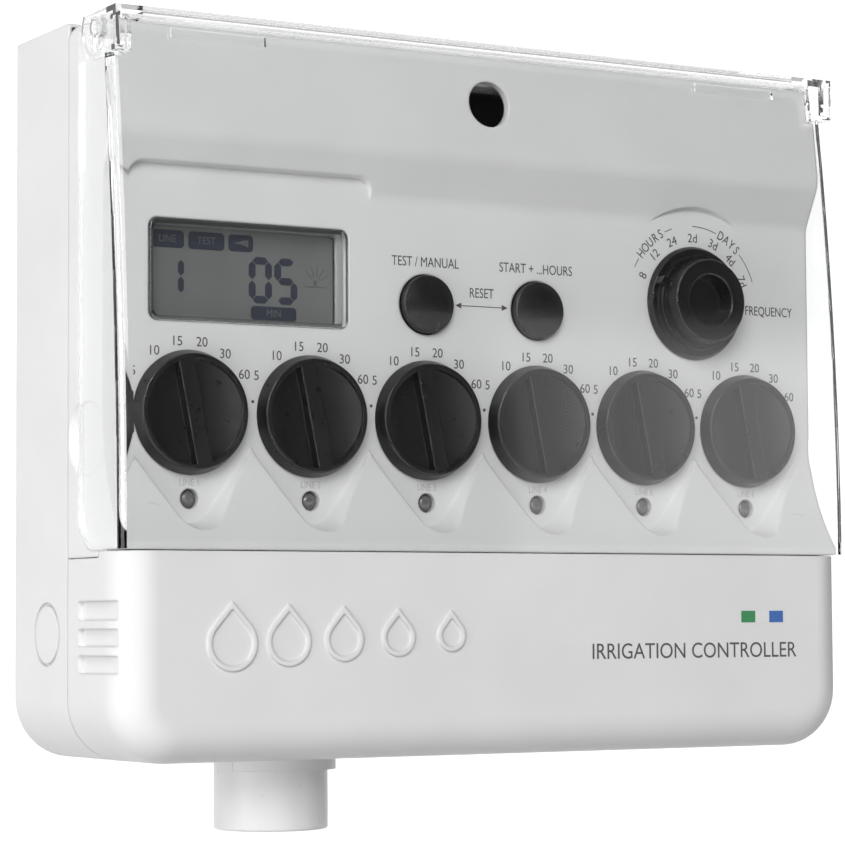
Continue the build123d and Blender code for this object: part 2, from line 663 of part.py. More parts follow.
for i in range(ZONES):
    x = zone_x(i)
    face = dial_plane(x, ZONE_Z, F_KNOB, ZONE_REST_DEG)
    with BuildPart() as zone_knob:
        with BuildSketch(face):
            Circle(KNOB_R)
        extrude(amount=KNOB_H, taper=18.4)
        top_rim = zone_knob.faces().sort_by(Axis.Y)[0].edges()
        fillet(top_rim, 0.5)
        # finger scoops, deepest beside the bar and running out at the rim
        for side in (-1, 1):
            across = Plane(origin=face.origin - face.y_dir * 20, x_dir=face.x_dir, z_dir=face.y_dir)
            with BuildSketch(across) as scoop:
                with BuildLine():
                    inner = (side * BAR_HALF, -KNOB_H - 1)
                    deep = (side * (BAR_HALF + 0.4), -KNOB_H + SCOOP_DEPTH)
                    shelf = (side * (KNOB_R * 0.55), -KNOB_H + SCOOP_DEPTH * 0.8)
                    edge = (side * KNOB_FACE_R, -KNOB_H)
                    outer = (side * KNOB_FACE_R, -KNOB_H - 1)
                    Line(inner, deep)
                    ThreePointArc(deep, shelf, edge)
                    Polyline(edge, outer, inner)
                make_face()
            prism = extrude(scoop.sketch, amount=40, mode=Mode.PRIVATE)
            with BuildSketch(face.offset(KNOB_H + 1)) as limit:
                Circle(KNOB_FACE_R - KNOB_RIM)
            well = extrude(limit.sketch, amount=-KNOB_H - 1, mode=Mode.PRIVATE)
            add(prism & well, mode=Mode.SUBTRACT)
        bar_edges = zone_knob.edges().filter_by(GeomType.LINE).group_by(Axis.Y)[0]
        fillet(bar_edges, BAR_EDGE_R)
        front_disc([(x, ZONE_Z)], HUB_R, F_HUB, F_KNOB)
        front_disc([(x, ZONE_Z)], SHAFT_R, F_HUB - 1, F_KNOB + 0.5, mode=Mode.SUBTRACT)
    save(zone_knob, f"zone_knob_{i + 1}")
    save(shaft_at(x, ZONE_Z, F_KNOB + 0.5), f"zone_shaft_{i + 1}")

# ---------------------------------------------------------------- frequency dial

SKIRT_H = 1.6
SKIRT_TOP_R = 15.2
STEP_R = 13.2
STEP_H = 3.4
GRIP_R = 11.7
GRIP_H = 8.2
CUP_R = 7.2
CUP_DEPTH = 5.5
POINTER_W = 2.0

with BuildPart() as frequency_knob:
    with BuildSketch(side_plane(FREQUENCY_X)):
        with BuildLine():
            base_f = -F_KNOB
            Polyline(
                (base_f, FREQUENCY_Z),
                (base_f, FREQUENCY_Z + KNOB_R),
                (base_f - SKIRT_H, FREQUENCY_Z + SKIRT_TOP_R),
                (base_f - SKIRT_H, FREQUENCY_Z + STEP_R + 0.3),
                (base_f - STEP_H, FREQUENCY_Z + STEP_R),
                (base_f - STEP_H, FREQUENCY_Z + GRIP_R + 0.3),
                (base_f - GRIP_H, FREQUENCY_Z + GRIP_R),
                (base_f - GRIP_H, FREQUENCY_Z + CUP_R),
                (base_f - GRIP_H + CUP_DEPTH, FREQUENCY_Z + CUP_R - 0.4),
                (base_f - GRIP_H + CUP_DEPTH, FREQUENCY_Z),
                (base_f, FREQUENCY_Z),
            )
        make_face()
    revolve(axis=Axis((FREQUENCY_X, 0, FREQUENCY_Z), (0, 1, 0)))
    crown = frequency_knob.edges().filter_by(GeomType.CIRCLE).group_by(Axis.Y)[0]
    fillet(crown, 0.6)
    # pointer rib from the rim to the grip
    pointer = dial_plane(FREQUENCY_X, FREQUENCY_Z, F_KNOB, FREQUENCY_REST_DEG)
    with BuildSketch(pointer):
        with Locations((0, (GRIP_R + SKIRT_TOP_R) / 2 - 0.2)):
            Rectangle(POINTER_W, SKIRT_TOP_R - GRIP_R)
    extrude(amount=STEP_H + 1.2)
    front_disc([(FREQUENCY_X, FREQUENCY_Z)], HUB_R, F_HUB, F_KNOB)
    front_disc([(FREQUENCY_X, FREQUENCY_Z)], SHAFT_R, F_HUB - 1, F_KNOB + 2.0, mode=Mode.SUBTRACT)
save(frequency_knob, "frequency_knob")
save(shaft_at(FREQUENCY_X, FREQUENCY_Z, F_KNOB + 2.0), "frequency_shaft")

# ---------------------------------------------------------------- push buttons

F_BUTTON_FOOT = F_PANEL - 5.2
F_BUTTON_EDGE = F_PANEL + 2.2
F_BUTTON_TOP = F_PANEL + 3.4
PLUNGER_R = 1.7
F_PUSH_SWITCH = F_PANEL - 7.2

BUTTON_EDGE_R = 0.7
BUTTON_LIP = 1.4

for name, x in (("test", -BUTTON_X), ("start", BUTTON_X)):
    rim_z = BUTTON_Z + BUTTON_R
    lip_f = F_PANEL_BACK - 1.2
    corner = BUTTON_EDGE_R * (1 - sqrt(0.5))
    with BuildPart() as button:
        with BuildSketch(side_plane(x)):
            with BuildLine():
                Polyline(
                    (-F_BUTTON_EDGE + BUTTON_EDGE_R, rim_z),
                    (-lip_f, rim_z),
                    (-lip_f, rim_z + BUTTON_LIP),
                    (-F_BUTTON_FOOT, rim_z + BUTTON_LIP),
                    (-F_BUTTON_FOOT, BUTTON_Z),
                    (-F_BUTTON_TOP, BUTTON_Z),
                )
                dome_end = (-F_BUTTON_EDGE, rim_z - BUTTON_EDGE_R)
                dome_middle = (-F_BUTTON_TOP + 0.4, BUTTON_Z + BUTTON_R * 0.55)
                ThreePointArc((-F_BUTTON_TOP, BUTTON_Z), dome_middle, dome_end)
                rim_middle = (-F_BUTTON_EDGE + corner, rim_z - corner)
                ThreePointArc(dome_end, rim_middle, (-F_BUTTON_EDGE + BUTTON_EDGE_R, rim_z))
            make_face()
        revolve(axis=Axis((x, 0, BUTTON_Z), (0, 1, 0)))
    save(button, f"{name}_button")
    with BuildPart() as plunger:
        front_disc([(x, BUTTON_Z)], PLUNGER_R, F_BUTTON_FOOT - 3.4, F_BUTTON_FOOT)
    save(plunger, f"{name}_plunger")

# ---------------------------------------------------------------- display

F_WINDOW_BACK = F_PANEL - 6.6
F_WINDOW_FRONT = F_PANEL + 0.7
F_GLASS_BACK = F_PANEL - 8.6
WINDOW_WALL = 1.4
WINDOW_FLANGE = 1.2
GLASS_EDGE = 0.2
FRAME_WALL = 1.4


def display_box(grow, f0, f1, mode=Mode.ADD):
    """Box about the display, larger than the window by grow on each side."""
    half_w = LCD_W / 2 + grow
    half_h = LCD_H / 2 + grow
    front_box(LCD_X - half_w, LCD_X + half_w, LCD_Z - half_h, LCD_Z + half_h, f0, f1, mode)


def rounded_display_box(grow, corner_r, f0, f1, mode=Mode.ADD):
    """The same with rounded corners."""
    with BuildSketch(front_plane(f0)) as outline:
        with Locations((LCD_X, LCD_Z)):
            RectangleRounded(LCD_W + 2 * grow, LCD_H + 2 * grow, corner_r)
    extrude(outline.sketch, amount=f1 - f0, mode=mode)


# clear cap with a flange behind the panel
with BuildPart() as lcd_window:
    rounded_display_box(WINDOW_FLANGE, 3.0, F_WINDOW_BACK, F_PANEL_BACK - 0.1)
    rounded_display_box(0, 2.5, F_WINDOW_BACK, F_WINDOW_FRONT)
    fillet(lcd_window.faces().sort_by(Axis.Y)[0].outer_wire().edges(), 0.8)
    rounded_display_box(-WINDOW_WALL, 1.6, F_WINDOW_BACK, F_WINDOW_FRONT - WINDOW_WALL, Mode.SUBTRACT)
save(lcd_window, "lcd_window")

with BuildPart() as lcd_glass:
    display_box(GLASS_EDGE, F_GLASS_BACK, F_WINDOW_BACK)
save(lcd_glass, "lcd_glass")

with BuildPart() as lcd_frame:
    display_box(WINDOW_FLANGE + 0.1 + FRAME_WALL, F_BOARD_FRONT, F_PANEL_BACK - 0.2)
    display_box(WINDOW_FLANGE + 0.1, F_WINDOW_BACK, F_PANEL_BACK, Mode.SUBTRACT)
    display_box(GLASS_EDGE, F_GLASS_BACK, F_WINDOW_BACK, Mode.SUBTRACT)
    display_box(-WINDOW_WALL, F_BOARD_FRONT, F_GLASS_BACK, Mode.SUBTRACT)
save(lcd_frame, "lcd_frame")

with BuildPart() as lcd_contact_strips:
    for z in (LCD_Z - 11.6, LCD_Z + 9.6):
        front_box(LCD_X - 25, LCD_X + 25, z, z + 2, F_BOARD_FRONT, F_GLASS_BACK)
save(lcd_contact_strips, "lcd_contact_strips")

# ---------------------------------------------------------------- control board

CONTROL_BOARD_X = 94.0
CONTROL_BOARD_Z = (height(60), height(164))
CONTROL_SCREWS = [(-35.0, height(156)), (86.0, height(156)), (-35.0, height(112)), (35.0, height(112))]
zone_centres = [(zone_x(i), ZONE_Z) for i in range(ZONES)]
dial_centres = zone_centres + [(FREQUENCY_X, FREQUENCY_Z)]
button_centres = [(-BUTTON_X, BUTTON_Z), (BUTTON_X, BUTTON_Z)]

with BuildPart() as control_board:
    front_box(-CONTROL_BOARD_X, CONTROL_BOARD_X, *CONTROL_BOARD_Z, F_BOARD, F_BOARD_FRONT)
    front_disc(CONTROL_SCREWS, 1.6, F_BOARD - 1, F_BOARD_FRONT + 1, mode=Mode.SUBTRACT)
save(control_board, "control_board")

with BuildPart() as board_screws:
    front_disc(CONTROL_SCREWS, 2.8, F_BOARD - 1.8, F_BOARD)
    front_disc(CONTROL_SCREWS, 1.5, F_BOARD, F_BOARD_FRONT + 6)
save(board_screws, "board_screws")

with BuildPart() as board_spacers:
    front_disc(CONTROL_SCREWS, 3.2, F_BOARD_FRONT, F_PANEL_BACK)
    front_disc(CONTROL_SCREWS, 1.5, F_BOARD_FRONT - 1, F_BOARD_FRONT + 6, mode=Mode.SUBTRACT)
save(board_spacers, "board_spacers")


def switch_bodies(centres):
    """Rotary switch bodies on the control board, bored for their shafts."""
    with BuildPart() as bodies:
        with BuildSketch(front_plane(F_BOARD_FRONT)) as squares:
            with Locations(*centres):
                Rectangle(SWITCH_SIZE, SWITCH_SIZE)
        extrude(squares.sketch, amount=F_SWITCH - F_BOARD_FRONT)
        front_disc(centres, SHAFT_R + RUNNING, F_SHAFT - 0.3, F_SWITCH + 1, mode=Mode.SUBTRACT)
    return bodies


save(switch_bodies(zone_centres), "zone_switches")
save(switch_bodies([(FREQUENCY_X, FREQUENCY_Z)]), "frequency_switch")

with BuildPart() as push_switches:
    with BuildSketch(front_plane(F_BOARD_FRONT)):
        with Locations(*button_centres):
            Rectangle(7, 7)
    extrude(amount=F_PUSH_SWITCH - F_BOARD_FRONT)
    bore_r = PLUNGER_R + RUNNING
    front_disc(button_centres, bore_r, F_BOARD_FRONT + 0.8, F_PUSH_SWITCH + 1, Mode.SUBTRACT)
save(push_switches, "push_switches")

with BuildPart() as zone_leds:
    for x, _ in zone_centres:
        front_disc([(x, LED_Z)], LED_R + 0.4, F_BOARD_FRONT, F_BOARD_FRONT + 1.2)
        front_disc([(x, LED_Z)], LED_R, F_BOARD_FRONT, F_PANEL - 0.4)
    tips = zone_leds.edges().filter_by(GeomType.CIRCLE).group_by(Axis.Y)[0]
    fillet(tips, LED_R - 0.4)
save(zone_leds, "zone_leds")

with BuildPart() as controller_chip:
    front_box(20, 34, height(132), height(146), F_BOARD_FRONT, F_BOARD_FRONT + 1.4)
    with BuildSketch(front_plane(F_BOARD_FRONT)) as legs:
        with Locations((27, height(139))):
            with GridLocations(2.0, 16.0, 6, 2):
                Rectangle(0.6, 2.0)
            with GridLocations(16.0, 2.0, 2, 6):
                Rectangle(2.0, 0.6)
    extrude(legs.sketch, amount=0.3)
save(controller_chip, "controller_chip")

# ---------------------------------------------------------------- wiring compartment

F_POWER_FRONT = F_POWER_BOARD + BOARD_T
POWER_X = (-28.0, 74.0)
POWER_Z = (height(5.5), height(55.5))
CORE_X = 45.0
CORE_Z = height(28)
CORE_W = 48.0
CORE_H = 40.0
CORE_F = (F_POWER_FRONT + 4.0, F_POWER_FRONT + 26.0)
LEG_W = 16.0
WINDOW_W = 8.0
COIL_H = 24.0

with BuildPart() as power_board:
    front_box(POWER_X[0], POWER_X[1], POWER_Z[0], POWER_Z[1], F_POWER_BOARD, F_POWER_FRONT)
    front_disc(BOARD_POSTS, 1.5, F_POWER_BOARD - 1, F_POWER_FRONT + 1, mode=Mode.SUBTRACT)
save(power_board, "power_board")

with BuildPart() as power_board_screws:
    front_disc(BOARD_POSTS, 2.6, F_POWER_FRONT, F_POWER_FRONT + 1.8)
    front_disc(BOARD_POSTS, 1.2, F_POWER_BOARD - 3.5, F_POWER_FRONT)
save(power_board_screws, "power_board_screws")

with BuildPart() as transformer_core:
    front_box(CORE_X - CORE_W / 2, CORE_X + CORE_W / 2, CORE_Z - CORE_H / 2, CORE_Z + CORE_H / 2, *CORE_F)
    for side in (-1, 1):
        middle = CORE_X + side * (LEG_W + WINDOW_W) / 2
        front_box(
            middle - WINDOW_W / 2,
            middle + WINDOW_W / 2,
            CORE_Z - COIL_H / 2,
            CORE_Z + COIL_H / 2,
            CORE_F[0] - 1,
            CORE_F[1] + 1,
            mode=Mode.SUBTRACT,
        )
save(transformer_core, "transformer_core")

with BuildPart() as transformer_coil:
    coil_half = LEG_W / 2 + WINDOW_W
    z_low = CORE_Z - COIL_H / 2
    z_high = CORE_Z + COIL_H / 2
    front_box(CORE_X - coil_half, CORE_X + coil_half, z_low, z_high, F_POWER_FRONT, CORE_F[1] + 4)
    front_box(CORE_X - LEG_W / 2, CORE_X + LEG_W / 2, z_low, z_high, *CORE_F, mode=Mode.SUBTRACT)
save(transformer_coil, "transformer_coil")

BLOCK_F = (F_POWER_FRONT, F_POWER_FRONT + 14.0)
WAY = 6.0


def terminal_block(x0, ways, z0, z1, name):
    """Block of screw terminals with wire holes below and screw wells in front."""
    middles = [x0 + WAY * (n + 0.5) for n in range(ways)]
    z_screw = (z0 + z1) / 2
    wells = [(x, z_screw) for x in middles]
    with BuildPart() as block:
        front_box(x0, x0 + WAY * ways, z0, z1, *BLOCK_F)
        front_disc(wells, 1.9, BLOCK_F[1] - 5, BLOCK_F[1] + 1, mode=Mode.SUBTRACT)
        for x in middles:
            front_box(x - 2, x + 2, z0 - 1, z0 + 4, BLOCK_F[0] + 2, BLOCK_F[0] + 6, mode=Mode.SUBTRACT)
    save(block, name)
    with BuildPart() as screws:
        front_disc(wells, 1.9, BLOCK_F[1] - 5, BLOCK_F[1] - 2.6)
        slot_f = (BLOCK_F[1] - 3.3, BLOCK_F[1])
        for x in middles:
            front_box(x - 1.4, x + 1.4, z_screw - 0.3, z_screw + 0.3, *slot_f, Mode.SUBTRACT)
    save(screws, f"{name}_screws")


terminal_block(-27.0, 7, height(14), height(26), "zone_terminal_block")
terminal_block(-17.0, 3, height(40), height(50), "mains_terminal_block")

FUSE_F = F_POWER_FRONT + 5.0
FUSE_Z = height(34.5)
FUSE_X = (-22.0, -2.0)
with BuildPart() as fuse:
    with BuildSketch(side_plane(FUSE_X[0])):
        with Locations((-FUSE_F, FUSE_Z)):
            Circle(2.5)
    extrude(amount=FUSE_X[1] - FUSE_X[0])
save(fuse, "fuse")

with BuildPart() as fuse_clips:
    for x in (FUSE_X[0] + 1, FUSE_X[1] - 5):
        front_box(x, x + 4, FUSE_Z - 3.2, FUSE_Z + 3.2, F_POWER_FRONT, FUSE_F + 1.0)
        with BuildSketch(side_plane(x)) as seat:
            with Locations((-FUSE_F, FUSE_Z)):
                Circle(2.5)
        extrude(seat.sketch, amount=4, mode=Mode.SUBTRACT)
save(fuse_clips, "fuse_clips")

with BuildPart() as triacs:
    for n in range(ZONES):
        x = -19.5 + 6.6 * n
        front_box(x, x + 5, height(7.0), height(10.5), F_POWER_FRONT, F_POWER_FRONT + 6)
save(triacs, "triacs")

with BuildPart() as capacitor:
    front_disc([(10.0, height(36))], 5.0, F_POWER_FRONT, F_POWER_FRONT + 14)
    fillet(capacitor.faces().sort_by(Axis.Y)[0].edges(), 0.8)
save(capacitor, "capacitor")

with BuildPart() as ribbon_cable:
    RIBBON_T = 0.9
    with BuildSketch(side_plane(-10)) as strip:
        with BuildLine() as route:
            points = [
                (-F_POWER_FRONT, height(53)),
                (-19, height(53)),
                (-24, height(62)),
                (-24, height(72)),
                (-F_BOARD, height(72)),
            ]
            FilletPolyline(*points, radius=2.4)
        trace(line_width=RIBBON_T)
    extrude(strip.sketch, amount=18)
    front_box(-40, 40, height(40), height(90), F_POWER_FRONT - 3, F_POWER_FRONT, mode=Mode.SUBTRACT)
    front_box(-40, 40, height(40), height(90), F_BOARD, F_BOARD + 3, mode=Mode.SUBTRACT)
save(ribbon_cable, "ribbon_cable")

CLAMP_T = 3.6
with BuildPart() as cable_clamp:
    (x_left, z_clamp), (x_right, _) = CLAMP_POSTS
    front_box(x_left - 5, x_right + 5, z_clamp - 4.5, z_clamp + 4.5, F_CLAMP, F_CLAMP + CLAMP_T)
    fillet(cable_clamp.edges().filter_by(Axis.Y), 3)
    front_disc(CLAMP_POSTS, 1.7, F_CLAMP - 1, F_CLAMP + CLAMP_T + 1, mode=Mode.SUBTRACT)
save(cable_clamp, "cable_clamp")

with BuildPart() as cable_clamp_screws:
    front_disc(CLAMP_POSTS, 3.0, F_CLAMP + CLAMP_T, F_CLAMP + CLAMP_T + 2)
    front_disc(CLAMP_POSTS, 1.4, F_CLAMP - 9, F_CLAMP + CLAMP_T)
    with BuildSketch(front_plane(F_CLAMP + CLAMP_T + 1.2)):
        with Locations(*CLAMP_POSTS):
            Rectangle(3.4, 0.7)
            Rectangle(0.7, 3.4)
    extrude(amount=2, mode=Mode.SUBTRACT)
save(cable_clamp_screws, "cable_clamp_screws")

with BuildPart() as backup_battery:
    front_box(BATTERY_X[0], BATTERY_X[1], BATTERY_Z[0], BATTERY_Z[1], *F_BATTERY)
    fillet(backup_battery.edges().filter_by(Axis.X), 1.5)
save(backup_battery, "backup_battery")

with BuildPart() as battery_connector:
    front_box(BATTERY_X[1], BATTERY_X[1] + 4, BATTERY_Z[0] + 1, BATTERY_Z[1] - 1, 5.5, 18.0)
    fillet(battery_connector.edges().filter_by(Axis.X), 2)
save(battery_connector, "battery_connector")
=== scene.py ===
import json
from math import cos, pi, radians, sin

import bmesh
import bpy
from mathutils import Matrix, Vector


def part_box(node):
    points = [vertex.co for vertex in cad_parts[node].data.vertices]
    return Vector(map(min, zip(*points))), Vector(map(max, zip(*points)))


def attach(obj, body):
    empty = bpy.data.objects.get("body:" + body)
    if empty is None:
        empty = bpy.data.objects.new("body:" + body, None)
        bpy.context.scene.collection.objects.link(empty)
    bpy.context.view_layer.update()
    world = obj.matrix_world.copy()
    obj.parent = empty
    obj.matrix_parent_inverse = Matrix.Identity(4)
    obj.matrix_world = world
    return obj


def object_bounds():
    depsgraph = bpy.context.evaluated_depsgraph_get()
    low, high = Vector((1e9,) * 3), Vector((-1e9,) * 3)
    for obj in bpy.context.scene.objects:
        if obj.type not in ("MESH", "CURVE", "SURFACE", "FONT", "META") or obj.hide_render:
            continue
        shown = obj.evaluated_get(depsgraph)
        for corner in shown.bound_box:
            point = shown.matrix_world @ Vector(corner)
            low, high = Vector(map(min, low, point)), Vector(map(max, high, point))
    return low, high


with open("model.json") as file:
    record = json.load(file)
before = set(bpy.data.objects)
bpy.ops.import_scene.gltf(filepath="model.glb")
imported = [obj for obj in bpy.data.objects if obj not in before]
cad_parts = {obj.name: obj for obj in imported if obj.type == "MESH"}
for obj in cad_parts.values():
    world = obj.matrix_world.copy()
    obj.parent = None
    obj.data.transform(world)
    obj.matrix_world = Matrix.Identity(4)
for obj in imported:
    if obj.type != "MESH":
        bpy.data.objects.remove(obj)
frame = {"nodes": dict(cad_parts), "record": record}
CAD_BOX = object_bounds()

# Metres, in the CAD's frame: X to the right as seen from the front, Y into the wall, Z up.
MM = 0.001
ZONES = 6
PRINT_LIFT = 0.02 * MM
PRINT_THICKNESS = 0.04 * MM

# ---------------------------------------------------------------- places taken from the frame


def centre(node):
    lo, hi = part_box(node)
    return (lo + hi) / 2


def front(node):
    """Y of a node's front, the side that faces the user."""
    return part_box(node)[0].y


DIAL_STANDS = 4.1 * MM
PANEL_Y = front("zone_knob_1") + DIAL_STANDS
RELIEF = 0.45 * MM
COVER_Y = front("terminal_cover") + RELIEF
ZONE_X = [centre(f"zone_knob_{i + 1}").x for i in range(ZONES)]
ZONE_Z = centre("zone_knob_1").z
FREQUENCY = centre("frequency_knob")
TEST = centre("test_button")
START = centre("start_button")
WINDOW_LO, WINDOW_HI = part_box("lcd_window")

# ---------------------------------------------------------------- materials


class Nodes:
    """A new material's node tree, with short ways to add and join nodes."""

    def __init__(self, name):
        self.material = bpy.data.materials.new(name)
        self.material.use_nodes = True
        self.tree = self.material.node_tree
        self.shader = self.tree.nodes["Principled BSDF"]
        self.output = self.tree.nodes["Material Output"]
        self.place = self.add("TexCoord").outputs["Object"]

    def add(self, kind, **inputs):
        node = self.tree.nodes.new("ShaderNode" + kind)
        for key, value in inputs.items():
            self.set(node.inputs[key.replace("_", " ")], value)
        return node

    def set(self, socket, value):
        if isinstance(value, bpy.types.NodeSocket):
            self.tree.links.new(value, socket)
        else:
            socket.default_value = value

    def noise(self, per_mm, detail=3.0, roughness=0.55):
        """Noise of about per_mm lumps to the millimetre, 0 to 1."""
        texture = self.add("TexNoise", Scale=per_mm / MM, Detail=detail, Roughness=roughness)
        self.set(texture.inputs["Vector"], self.place)
        return texture.outputs["Fac"]

    def ramp(self, factor, low, high):
        """Two colours or two greys, mixed by a factor."""
        ramp = self.add("ValToRGB", Fac=factor)
        for element, value in zip(ramp.color_ramp.elements, (low, high)):
            element.color = (*value, 1) if isinstance(value, tuple) else (value, value, value, 1)
        ramp.color_ramp.elements[0].position = 0.3
        ramp.color_ramp.elements[1].position = 0.7
        return ramp.outputs["Color"]

    def bump(self, height, depth_mm, edge_mm=0.0):
        """Relief of a given depth, over edges that catch the light as if rounded."""
        bump = self.add("Bump", Strength=1.0, Distance=depth_mm * MM, Height=height)
        if edge_mm:
            edge = self.add("Bevel", Radius=edge_mm * MM)
            edge.samples = 6
            self.set(bump.inputs["Normal"], edge.outputs["Normal"])
        self.set(self.shader.inputs["Normal"], bump.outputs["Normal"])

    def finish(self, **inputs):
        for key, value in inputs.items():
            self.set(self.shader.inputs[key.replace("_", " ")], value)
        return self.material


def plastic(name, dark, light, rough, grain_per_mm=2.5, grain_mm=0.012, edge_mm=0.0):
    """Moulded plastic: slight cloud in the colour, patchy gloss and a fine grain."""
    n = Nodes(name)
    n.bump(n.noise(grain_per_mm, detail=2.0), grain_mm, edge_mm)
    return n.finish(
        Base_Color=n.ramp(n.noise(0.035, detail=2.0), dark, light),
        Roughness=n.ramp(n.noise(0.3), rough - 0.03, rough + 0.03),
    )


# how much of a lamp's light passes one surface of a clear part
LIGHT_PASSED = 0.98


def clear_plastic(name, tint, rough=0.012):
    """Clear moulding that bends what is seen through it and lets lamps and bounced light through."""
    n = Nodes(name)
    glass = n.finish(
        Base_Color=(*tint, 1),
        Roughness=n.ramp(n.noise(0.08), rough * 0.5, rough * 1.5),
        Transmission_Weight=1.0,
        IOR=1.5,
    )
    path = n.add("LightPath")
    either = n.add("Math")
    either.operation = "MAXIMUM"
    n.set(either.inputs[0], path.outputs["Is Shadow Ray"])
    n.set(either.inputs[1], path.outputs["Is Diffuse Ray"])
    open_shader = n.add("BsdfTransparent", Color=(*(LIGHT_PASSED * c for c in tint), 1))
    mix = n.add("MixShader", Fac=either.outputs[0])
    n.set(mix.inputs[1], n.shader.outputs[0])
    n.set(mix.inputs[2], open_shader.outputs[0])
    n.set(n.output.inputs["Surface"], mix.outputs[0])
    return glass


def metal(name, dark, light, rough, scratch_mm=0.004):
    n = Nodes(name)
    n.bump(n.noise(6.0, detail=4.0), scratch_mm)
    return n.finish(
        Base_Color=n.ramp(n.noise(0.5), dark, light),
        Roughness=n.ramp(n.noise(1.2), rough - 0.06, rough + 0.08),
        Metallic=1.0,
    )


def lamp_plastic():
    """Smoked dome with a glossy skin."""
    n = Nodes("lamps")
    n.bump(n.noise(0.8), 0.01)
    return n.finish(
        Base_Color=n.ramp(n.noise(0.9), (0.13, 0.125, 0.13), (0.2, 0.19, 0.195)),
        Roughness=n.ramp(n.noise(0.6), 0.1, 0.18),
        Coat_Weight=0.6,
        Coat_Roughness=0.05,
    )


def board_material():
    """Green solder mask with faint tracks."""
    n = Nodes("circuit_board")
    cells = n.add("TexVoronoi", Scale=0.35 / MM)
    cells.distance = "MANHATTAN"
    cells.feature = "DISTANCE_TO_EDGE"
    n.set(cells.inputs["Vector"], n.place)
    tracks = n.add("ValToRGB", Fac=cells.outputs["Distance"])
    tracks.color_ramp.elements[0].position = 0.04
    tracks.color_ramp.elements[1].position = 0.09
    colour = n.add("MixRGB", Fac=tracks.outputs["Color"])
    colour.inputs[1].default_value = (0.02, 0.12, 0.05, 1)
    colour.inputs[2].default_value = (0.01, 0.06, 0.028, 1)
    n.bump(tracks.outputs["Color"], 0.03)
    return n.finish(
        Base_Color=colour.outputs[0],
        Roughness=n.ramp(n.noise(0.4), 0.3, 0.42),
        Coat_Weight=0.3,
    )


def woven(name, dark, light, rough):
    """Tape or fibre: fine bands across a soft cloud."""
    n = Nodes(name)
    bands = n.add("TexWave", Scale=0.9 / MM, Distortion=1.2)
    n.set(bands.inputs["Vector"], n.place)
    n.bump(bands.outputs["Fac"], 0.03)
    return n.finish(
        Base_Color=n.ramp(bands.outputs["Fac"], dark, light),
        Roughness=n.ramp(n.noise(0.8), rough - 0.05, rough + 0.05),
    )


def display_material():
    """Grey liquid crystal cell, a little greener where it is thick."""
    n = Nodes("display")
    n.bump(n.noise(1.5), 0.002)
    return n.finish(
        Base_Color=n.ramp(n.noise(0.05), (0.19, 0.2, 0.195), (0.235, 0.24, 0.232)),
        Roughness=n.ramp(n.noise(0.5), 0.28, 0.36),
    )


def build_materials():
    return {
        "casing": plastic("casing", 0.80, 0.84, 0.42, 1.6, 0.012, edge_mm=0.9),
        "sleeve": plastic("sleeve", 0.86, 0.89, 0.3, 0.8, 0.004, edge_mm=0.5),
        "seal": plastic("seal", 0.03, 0.045, 0.7),
        "clear_lid": clear_plastic("clear_lid", (0.985, 0.988, 0.988)),
        "clear_window": clear_plastic("clear_window", (0.96, 0.965, 0.965), 0.006),
        "display": display_material(),
        "white_pins": plastic("white_pins", 0.8, 0.84, 0.35),
        "black_controls": plastic("black_controls", 0.004, 0.007, 0.3, 1.2, 0.003, edge_mm=0.35),
        "black_parts": plastic("black_parts", 0.014, 0.02, 0.5),
        "nylon": plastic("nylon", 0.7, 0.76, 0.4),
        "lamps": lamp_plastic(),
        "circuit_board": board_material(),
        "steel_screws": metal("steel_screws", 0.42, 0.55, 0.3),
        "core_steel": metal("core_steel", 0.2, 0.3, 0.45, 0.02),
        "coil_tape": woven("coil_tape", (0.5, 0.35, 0.05), (0.62, 0.46, 0.08), 0.4),
        "terminal_green": plastic("terminal_green", (0.02, 0.2, 0.07), (0.03, 0.26, 0.1), 0.4),
        "fuse_glass": clear_plastic("fuse_glass", (0.93, 0.95, 0.94)),
        "clip_brass": metal("clip_brass", (0.55, 0.38, 0.14), (0.68, 0.5, 0.2), 0.3),
        "battery_case": plastic("battery_case", (0.02, 0.02, 0.022), (0.05, 0.05, 0.055), 0.3),
        "ribbon_grey": woven("ribbon_grey", (0.32, 0.32, 0.33), (0.42, 0.42, 0.43), 0.5),
    }


MATERIALS = build_materials()

for part in frame["record"]["subparts"]:
    node = frame["nodes"][part["node"]]
    node.data.materials.clear()
    node.data.materials.append(MATERIALS[part["material_slot"]])

# ---------------------------------------------------------------- printed marks


def ink(name, low, high, rough=0.5):
    n = Nodes(name)
    n.bump(n.noise(5.0), 0.004)
    return n.finish(
        Base_Color=n.ramp(n.noise(1.5), low, high),
        Roughness=n.ramp(n.noise(2.0), rough - 0.05, rough + 0.05),
    )


GREY_INK = ink("grey_ink", 0.055, 0.085)
PALE_INK = ink("pale_ink", 0.52, 0.6)
SEGMENT_INK = ink("segment_ink", (0.035, 0.04, 0.062), (0.05, 0.055, 0.08), 0.4)
FAINT_SEGMENT = ink("faint_segment", (0.13, 0.137, 0.14), (0.16, 0.167, 0.168), 0.4)
GREEN_INK = ink("green_ink", (0.02, 0.22, 0.07), (0.03, 0.27, 0.09))
BLUE_INK = ink("blue_ink", (0.03, 0.12, 0.42), (0.04, 0.15, 0.5))
WHITE_INK = ink("white_ink", 0.8, 0.86)


def join(pieces, name, material):
    """One mesh piece made of several mesh objects."""
    merged = bmesh.new()
    for piece in pieces:
        piece.data.transform(piece.matrix_world)
        merged.from_mesh(piece.data)
        bpy.data.objects.remove(piece)
    mesh = bpy.data.meshes.new(name)
    merged.to_mesh(mesh)
    merged.free()
    mesh.materials.append(material)
    piece = bpy.data.objects.new(name, mesh)
    bpy.context.collection.objects.link(piece)
    return piece


